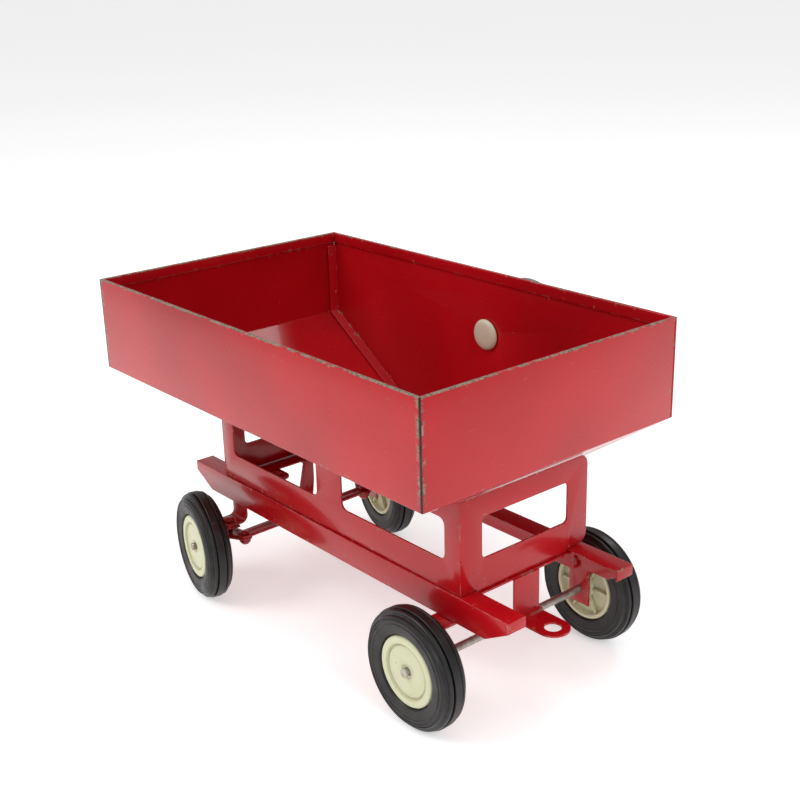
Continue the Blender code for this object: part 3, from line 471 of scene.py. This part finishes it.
def rim_wear(made, rim):
    """A worn line along the folded upper edge of the hopper, from its box."""
    top = rim[1][2]
    return made.ramp(made.split("Z"), top - 0.45 * MM, top - 0.25 * MM, 0.0, 0.75)


def seam_shade_and_wear(made, rim, place):
    """Painted shade in the open corner seams of the hopper's near side, and paint lost beside them."""
    (left, near, _), (right, _, _) = rim
    along = made.maths("SUBTRACT", made.split("X"), (left + right) / 2)
    along = made.maths("SUBTRACT", made.maths("ABSOLUTE", along), (right - left) / 2)
    along = made.maths("ABSOLUTE", along)
    across = made.maths("ABSOLUTE", made.maths("SUBTRACT", made.split("Y"), near))
    away = made.maths("MAXIMUM", along, across)
    # painted shade: full within 0.45 mm of a corner seam, fading out by 0.95 mm
    painted_seam_shade = made.ramp(away, 0.45 * MM, 0.95 * MM, 1.0, 0.0)
    beside = made.ramp(away, 0.9 * MM, 2.6 * MM, 1.0, 0.0)
    ragged = made.ramp(made.noise(190.0, 4.0, 0.65, place), 0.50, 0.56)
    return painted_seam_shade, made.maths("MULTIPLY", beside, ragged)


def rubber(settings):
    """Black moulded rubber: grey dust in patches, scuffed ribs and fine mould grain."""
    made = Shader("tyre rubber")
    made.set(Coat_Weight=0.05, Coat_Roughness=0.35, IOR=1.45)
    base = tuple(settings.rubber)
    patches = made.ramp(made.noise(85.0, 5.0, 0.6), 0.45, 0.78, 0.0, 0.55)
    colour = made.blend(patches, base, tuple(c * 2.4 + 0.006 for c in base))
    edge = made.worn_edge(0.45 * MM, 0.84, 0.985)
    scuffs = made.ramp(made.noise(380.0, 4.0, 0.6), 0.44, 0.60, 0.0, 0.60)
    scuffed = made.maths("MULTIPLY", edge, scuffs)
    colour = made.blend(scuffed, colour, tuple(c * 5.0 + 0.028 for c in base))
    specks = made.ramp(made.noise(650.0, 2.0, 0.5), 0.73, 0.77, 0.0, 0.6)
    colour = made.blend(specks, colour, (0.12, 0.11, 0.10))
    made.feed("Base Color", colour)
    made.feed("Roughness", made.ramp(made.noise(140.0, 4.0, 0.6), 0.3, 0.75, 0.34, 0.58))
    made.bump([(made.noise(1300.0, 3.0, 0.6), 0.14), (made.noise(240.0, 3.0, 0.5), 0.12)], 0.2 * MM)
    return made.material


def scaled(colour, factors):
    return tuple(part * factor for part, factor in zip(colour, factors))


def cream_plastic(name, colour, grime=1.0):
    """Moulded cream plastic with grime against its steps, flow marks and a soft gloss."""
    made = Shader(name)
    made.set(IOR=1.46, Subsurface_Weight=0.12, Subsurface_Scale=0.0015)
    made.principled.inputs["Subsurface Radius"].default_value = (1.0, 0.8, 0.5)
    flow = made.ramp(made.noise(110.0, 4.0, 0.6), 0.35, 0.70)
    base = made.blend(flow, colour, scaled(colour, (0.97, 0.96, 0.86)))
    inner = made.worn_edge(0.9 * MM, 0.82, 0.995)
    stain = made.ramp(made.noise(260.0, 4.0, 0.6), 0.38, 0.60, 0.20, 0.80 * grime)
    base = made.blend(made.maths("MULTIPLY", inner, stain), base, scaled(colour, (0.52, 0.45, 0.30)))
    film = made.ramp(made.noise(45.0, 5.0, 0.65), 0.48, 0.72, 0.0, 0.22 * grime)
    base = made.blend(film, base, scaled(colour, (0.72, 0.66, 0.48)))
    specks = made.ramp(made.noise(480.0, 2.0, 0.5), 0.735, 0.765, 0.0, 0.85 * grime)
    base = made.blend(specks, base, (0.14, 0.10, 0.06))
    made.feed("Base Color", base)
    made.feed("Roughness", made.ramp(made.noise(190.0, 4.0, 0.6), 0.3, 0.7, 0.30, 0.48))
    made.bump([(made.noise(300.0, 4.0, 0.6), 0.22), (flow, 0.50)], 0.25 * MM)
    return made.material


def plain_steel():
    """Dull drawn wire with a brown tarnish and fine rings."""
    made = Shader("bare steel")
    made.set(Metallic=0.92, IOR=2.3)
    tarnish = made.ramp(made.noise(260.0, 5.0, 0.65), 0.42, 0.68)
    colour = made.blend(tarnish, (0.50, 0.48, 0.44), (0.26, 0.21, 0.16))
    spots = made.ramp(made.noise(800.0, 3.0, 0.6), 0.64, 0.72, 0.0, 0.8)
    colour = made.blend(spots, colour, (0.07, 0.035, 0.018))
    made.feed("Base Color", colour)
    made.feed("Roughness", made.ramp(made.noise(500.0, 4.0, 0.6), 0.3, 0.7, 0.34, 0.58))
    made.bump([(made.noise(900.0, 3.0, 0.6, made.stretched((1.0, 6.0, 1.0))), 0.15)], 0.1 * MM)
    return made.material


def grey_moulding():
    """Satin grey hand wheel, rubbed lighter on its high edges."""
    made = Shader("grey moulding")
    made.set(Metallic=0.15, IOR=1.5)
    patches = made.ramp(made.noise(170.0, 4.0, 0.6), 0.38, 0.70)
    colour = made.blend(patches, (0.23, 0.23, 0.22), (0.15, 0.15, 0.145))
    edge = made.worn_edge(0.5 * MM, 0.85, 0.99)
    rubbed = made.maths("MULTIPLY", edge, made.ramp(made.noise(420.0, 4.0, 0.6), 0.45, 0.6))
    colour = made.blend(rubbed, colour, (0.42, 0.41, 0.39))
    made.feed("Base Color", colour)
    made.feed("Roughness", made.ramp(made.noise(260.0, 4.0, 0.6), 0.3, 0.7, 0.36, 0.55))
    made.bump([(made.noise(700.0, 3.0, 0.6), 0.12)], 0.15 * MM)
    return made.material


def stored(name, build):
    """A material made once and then shared."""
    return bpy.data.materials.get(name) or build()


def stored_enamel(name, wear, shift, rim=None):
    return stored(name, lambda: enamel(name, bpy.context.scene.wagon_enamel, wear, shift, rim))


def hopper_enamel():
    return stored_enamel("hopper enamel", 1.25, 0.0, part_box("hopper_near_side"))


def far_wall_enamel():
    return stored_enamel("far wall enamel", 0.35, 0.12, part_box("hopper_near_side"))


def frame_enamel():
    return stored_enamel("frame enamel", 0.55, 0.31)


# Operators
def close_seams(piece, node):
    """Draws a hopper sheet's edges closer to the next sheet's, at the hips and the near corners."""
    low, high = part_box(node)
    for vertex in piece.data.vertices:
        if node == "hopper_near_side":
            if vertex.co.z < low[2] + HIP_HEIGHT:
                vertex.co.x += math.copysign(HIP_DRAW, vertex.co.x)
        elif vertex.co.y < high[1] - CORNER_DEPTH:
            vertex.co.y -= CORNER_DRAW


class WAGON_OT_hopper(bpy.types.Operator):
    """Rounds the edges of the four hopper sheets and enamels them"""

    bl_idname = "wagon.hopper"
    bl_label = "Hopper sheets"

    def execute(self, context):
        radius = context.scene.wagon_enamel.edge_round
        for node in HOPPER_SHEETS:
            finish = far_wall_enamel() if node == "hopper_far_side" else hopper_enamel()
            sheet = softened_copy(node, node + "_sheet", radius, 3)
            if node != "hopper_far_side":
                close_seams(sheet, node)
            finish_piece(sheet, node, finish)
        return {"FINISHED"}


class WAGON_OT_discharge(bpy.types.Operator):
    """Finishes the door, its guides, the chute, the shaft bracket and the rack with its pinion"""

    bl_idname = "wagon.discharge"
    bl_label = "Discharge fittings"

    def execute(self, context):
        radius = context.scene.wagon_enamel.edge_round
        for node in DISCHARGE_PIECES:
            finish_piece(softened_copy(node, node + "_sheet", radius), node, hopper_enamel())
        steel = stored("bare steel", plain_steel)
        for node in GEARS:
            finish_piece(softened_copy(node, node + "_teeth", TOOTH_ROUND), node, steel)
        return {"FINISHED"}


class WAGON_OT_frame(bpy.types.Operator):
    """Rounds the edges of the pedestal, rails, cross plates and hangers"""

    bl_idname = "wagon.frame"
    bl_label = "Pedestal and rails"

    def execute(self, context):
        radius = context.scene.wagon_enamel.edge_round
        for node in FRAME_PIECES:
            finish_piece(softened_copy(node, node + "_strip", radius, 3), node, frame_enamel())
        return {"FINISHED"}


class WAGON_OT_steering(bpy.types.Operator):
    """Rounds the steering strips and puts domed heads on their pins"""

    bl_idname = "wagon.steering"
    bl_label = "Steering"

    def execute(self, context):
        radius = context.scene.wagon_enamel.edge_round * STEERING_ROUND
        for node in STEERING_PIECES:
            finish_piece(softened_copy(node, node + "_strip", radius), node, frame_enamel())
        for node in PINS:
            finish_piece(softened_copy(node, node + "_head", PIN_ROUND, 3, 25.0), node, frame_enamel())
        return {"FINISHED"}


class WAGON_OT_axles(bpy.types.Operator):
    """Peens the ends of the axles and of the hand wheel's shaft"""

    bl_idname = "wagon.axles"
    bl_label = "Axles"

    def execute(self, context):
        steel = stored("bare steel", plain_steel)
        for node in AXLES + ("hand_wheel_shaft",):
            finish_piece(softened_copy(node, node + "_rod", AXLE_ROUND, 3, 25.0), node, steel)
        return {"FINISHED"}


def wheel_matrix(word):
    """From a wheel turned about Y at the origin, outer side towards +Y, to its place on the wagon."""
    turn = 0.0 if "far" in word else math.pi
    if "front" in word:
        turn += REST_STEER
    return Matrix.Translation(centre_of("tyre_" + word)) @ Matrix.Rotation(turn, 4, "Z")


def ridge(radius, along):
    """Section of one thin moulded ring that stands out of the sidewall."""
    low = along - 0.20 * MM
    crest = [(radius + 0.08 * MM, along), (radius + 0.50 * MM, along)]
    return [(radius, low), *crest, (radius + 0.58 * MM, low)]


def tyre_outline(rib):
    """Section of the tyre: one side from the bead to the middle rib, then the same mirrored."""
    tread = TREAD_RADIUS
    half = TYRE_HALF
    groove = tread - 0.75 * MM - rib
    side = [
        (14.75 * MM, half - 1.30 * MM),
        (15.20 * MM, half - 0.70 * MM),
        (16.80 * MM, half - 0.40 * MM),
        (18.00 * MM, half - 0.24 * MM),
    ]
    side += ridge(18.60 * MM, half) + ridge(20.10 * MM, half - 0.06 * MM)
    side += [
        (21.30 * MM, half - 0.62 * MM),
        (21.40 * MM, half - 0.38 * MM),
        (21.85 * MM, half - 0.60 * MM),
        (22.15 * MM, half - 1.10 * MM),
        (22.25 * MM, half - 1.60 * MM),
        (groove, half - 1.80 * MM),
        (groove, half - 2.10 * MM),
        (tread - 0.95 * MM, half - 2.20 * MM),
        (tread - 0.62 * MM, half - 2.50 * MM),
        (tread - 0.45 * MM, half - 3.40 * MM),
        (tread - 0.65 * MM, half - 3.62 * MM),
        (groove, half - 3.72 * MM),
        (groove, half - 4.12 * MM),
        (tread - 0.20 * MM, half - 4.22 * MM),
        (tread, half - 4.42 * MM),
    ]
    return side + [(radius, -along) for radius, along in side[::-1]]


class WAGON_OT_tyres(bpy.types.Operator):
    """Spins one ribbed tyre from its section and copies it to the four wheels"""

    bl_idname = "wagon.tyres"
    bl_label = "Tyres"

    def execute(self, context):
        settings = context.scene.wagon_wheels
        outline = tyre_outline(settings.rib_depth)
        pattern = spun("tyre_pattern", outline, settings.steps_round, crisp=RIB_SMOOTH_ANGLE)
        material = stored("tyre rubber", lambda: rubber(settings))
        for word in WHEELS:
            tyre = copy_of(pattern, "ribbed_tyre_" + word, wheel_matrix(word))
            finish_piece(tyre, "tyre_" + word, material)
        bpy.data.objects.remove(pattern, do_unlink=True)
        return {"FINISHED"}


def hub_outline():
    """Section of the hub: a disc and a flat ring on the outer side, a deep dish on the inner side."""
    return [
        (HUB_BORE, 4.00 * MM),
        (2.60 * MM, 4.00 * MM),
        (2.80 * MM, 4.22 * MM),
        (3.20 * MM, 4.32 * MM),
        (9.95 * MM, 4.32 * MM),
        (10.20 * MM, 4.18 * MM),
        (10.40 * MM, 3.75 * MM),
        (10.90 * MM, 3.75 * MM),
        (11.10 * MM, 4.20 * MM),
        (11.25 * MM, 4.82 * MM),
        (11.55 * MM, HUB_FACE),
        (13.60 * MM, HUB_FACE),
        (14.05 * MM, 4.70 * MM),
        (14.28 * MM, 4.30 * MM),
        (14.28 * MM, -4.40 * MM),
        (14.05 * MM, -4.80 * MM),
        (13.70 * MM, -HUB_FACE),
        (12.90 * MM, -HUB_FACE),
        (12.55 * MM, -4.70 * MM),
        (12.20 * MM, -2.70 * MM),
        (11.80 * MM, -2.35 * MM),
        (4.90 * MM, -2.35 * MM),
        (4.55 * MM, -2.60 * MM),
        (4.20 * MM, -4.75 * MM),
        (3.95 * MM, -HUB_FACE),
        (HUB_BORE, -HUB_FACE),
    ]


def hub_rib(index, count):
    """One thin rib that stands in the hub's inner dish, between the boss and the rim."""
    deselect()
    bpy.ops.mesh.primitive_cube_add(size=1.0, location=(8.3 * MM, -3.1 * MM, 0.0))
    rib = bpy.context.view_layer.objects.active
    rib.scale = (8.4 * MM, 1.9 * MM, 1.0 * MM)
    place_in_mesh(rib)
    bevel = rib.modifiers.new("Round", "BEVEL")
    bevel.width = 0.25 * MM
    bevel.segments = 2
    apply_modifiers(rib)
    rib.data.transform(Matrix.Rotation(2 * math.pi * index / count, 4, "Y"))
    return rib


class WAGON_OT_hubs(bpy.types.Operator):
    """Spins one dished hub, adds the ribs of its inner side and copies it to the four wheels"""

    bl_idname = "wagon.hubs"
    bl_label = "Hubs"

    def execute(self, context):
        settings = context.scene.wagon_wheels
        pattern = spun("hub_pattern", hub_outline(), HUB_STEPS)
        ribs = [hub_rib(index, settings.spokes) for index in range(settings.spokes)]
        pick(pattern)
        for rib in ribs:
            rib.select_set(True)
        bpy.ops.object.join()
        bpy.ops.object.shade_smooth_by_angle(angle=math.radians(38))
        plastic = tuple(settings.plastic)
        material = stored("cream plastic", lambda: cream_plastic("cream plastic", plastic))
        for word in WHEELS:
            hub = copy_of(pattern, "dished_hub_" + word, wheel_matrix(word))
            finish_piece(hub, "hub_" + word, material)
        bpy.data.objects.remove(pattern, do_unlink=True)
        return {"FINISHED"}


def cap_outline():
    """Section of the cap about its middle: a dome towards the hopper, and a socket for the shaft."""
    low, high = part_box("shaft_cap")
    radius = (high[0] - low[0]) / 2
    front, back = low[1], high[1]
    socket = front + (back - front) * 0.55
    outline = [
        (0.0, front),
        (radius * 0.55, front + 0.10 * MM),
        (radius * 0.80, front + 0.32 * MM),
        (radius * 0.93, front + 0.75 * MM),
        (radius, front + 1.35 * MM),
        (radius, back - 0.3 * MM),
        (radius - 0.25 * MM, back),
        (CAP_SOCKET_RADIUS, back),
        (CAP_SOCKET_RADIUS, socket),
        (0.0, socket),
    ]
    middle = centre_of("shaft_cap").y
    return [(distance, along - middle) for distance, along in outline]


class WAGON_OT_hand_wheel(bpy.types.Operator):
    """Smooths the hand wheel and turns the domed cap on the shaft's inner end"""

    bl_idname = "wagon.hand_wheel"
    bl_label = "Hand wheel and cap"

    def execute(self, context):
        wheel = softened_copy("hand_wheel", "hand_wheel_moulding", MOULDED_ROUND, 2, 35.0)
        finish_piece(wheel, "hand_wheel", stored("grey moulding", grey_moulding))
        cap = spun("domed_cap", cap_outline(), CAP_STEPS, closed=False)
        cap.data.transform(Matrix.Translation(centre_of("shaft_cap")))
        plastic = scaled(context.scene.wagon_wheels.plastic, (1.0, 0.93, 1.04))
        finish = stored("cap plastic", lambda: cream_plastic("cap plastic", plastic, 0.6))
        finish_piece(cap, "shaft_cap", finish)
        return {"FINISHED"}


def soft_light(name, place, target, size, power):
    data = bpy.data.lights.new(name, "AREA")
    data.shape = "RECTANGLE"
    data.size, data.size_y = size
    data.energy = power
    lamp = bpy.data.objects.new(name, data)
    lamp.location = place
    lamp.rotation_euler = (Vector(target) - Vector(place)).to_track_quat("-Z", "Y").to_euler()
    bpy.context.scene.collection.objects.link(lamp)


class WAGON_OT_stage(bpy.types.Operator):
    """Adds the pale floor, the soft studio light and the camera"""

    bl_idname = "wagon.stage"
    bl_label = "Stage"

    def execute(self, context):
        settings = context.scene.wagon_stage
        deselect()
        bpy.ops.mesh.primitive_grid_add(x_subdivisions=8, y_subdivisions=8, size=FLOOR_SIZE)
        floor = bpy.context.view_layer.objects.active
        floor.name = "studio_floor"
        paper = Shader("pale paper")
        paper.set(Roughness=0.75, IOR=1.3, Emission_Strength=FLOOR_GLOW)
        paper.principled.inputs["Emission Color"].default_value = (1.0, 1.0, 1.0, 1.0)
        tone = paper.ramp(paper.noise(2.0, 2.0, 0.5), 0.3, 0.7)
        paper.feed("Base Color", paper.blend(tone, (0.86, 0.86, 0.86), (0.88, 0.88, 0.88)))
        floor.data.materials.append(paper.material)

        world = bpy.data.worlds.new("studio air")
        world.use_nodes = True
        air = world.node_tree.nodes["Background"]
        air.inputs["Color"].default_value = (1.0, 1.0, 1.0, 1.0)
        air.inputs["Strength"].default_value = AIR_STRENGTH
        context.scene.world = world
        context.scene.view_settings.view_transform = "Standard"
        for lamp in LAMPS:
            soft_light(*lamp)

        data = bpy.data.cameras.new("camera")
        data.lens = settings.lens
        data.sensor_width = 36.0
        data.clip_start = 0.01
        camera = bpy.data.objects.new("camera", data)
        context.scene.collection.objects.link(camera)
        across, up = settings.azimuth, settings.elevation
        back = Vector((math.sin(across) * math.cos(up), -math.cos(across) * math.cos(up), math.sin(up)))
        right = Vector((0.0, 0.0, 1.0)).cross(back).normalized()
        top = back.cross(right)
        turn = settings.roll
        side = math.cos(turn) * right + math.sin(turn) * top
        above = math.cos(turn) * top - math.sin(turn) * right
        camera.matrix_world = Matrix((side, above, back)).transposed().to_4x4()
        camera.location = settings.camera_place
        context.scene.camera = camera
        return {"FINISHED"}


STEPS = (
    WAGON_OT_hopper,
    WAGON_OT_discharge,
    WAGON_OT_frame,
    WAGON_OT_steering,
    WAGON_OT_axles,
    WAGON_OT_tyres,
    WAGON_OT_hubs,
    WAGON_OT_hand_wheel,
    WAGON_OT_stage,
)


class WAGON_PT_sidebar(bpy.types.Panel):
    """Lists the wagon's settings and its operators"""

    bl_idname = "WAGON_PT_sidebar"
    bl_label = "Gravity wagon"
    bl_space_type = "VIEW_3D"
    bl_region_type = "UI"
    bl_category = "Wagon"

    def draw(self, context):
        for group in ("wagon_enamel", "wagon_wheels", "wagon_stage"):
            settings = getattr(context.scene, group)
            for key in settings.bl_rna.properties.keys():
                if key not in ("rna_type", "name"):
                    self.layout.prop(settings, key)
        for step in STEPS:
            self.layout.operator(step.bl_idname)


GROUPS = {"wagon_enamel": EnamelSettings, "wagon_wheels": WheelSettings, "wagon_stage": StageSettings}


def register():
    for name, group in GROUPS.items():
        bpy.utils.register_class(group)
        setattr(bpy.types.Scene, name, bpy.props.PointerProperty(type=group))
    for step in STEPS:
        bpy.utils.register_class(step)
    bpy.utils.register_class(WAGON_PT_sidebar)


def unregister():
    bpy.utils.unregister_class(WAGON_PT_sidebar)
    for step in reversed(STEPS):
        bpy.utils.unregister_class(step)
    for name, group in GROUPS.items():
        delattr(bpy.types.Scene, name)
        bpy.utils.unregister_class(group)


def main():
    register()
    for step in STEPS:
        group, name = step.bl_idname.split(".")
        getattr(getattr(bpy.ops, group), name)()


if __name__ == "__main__":
    main()
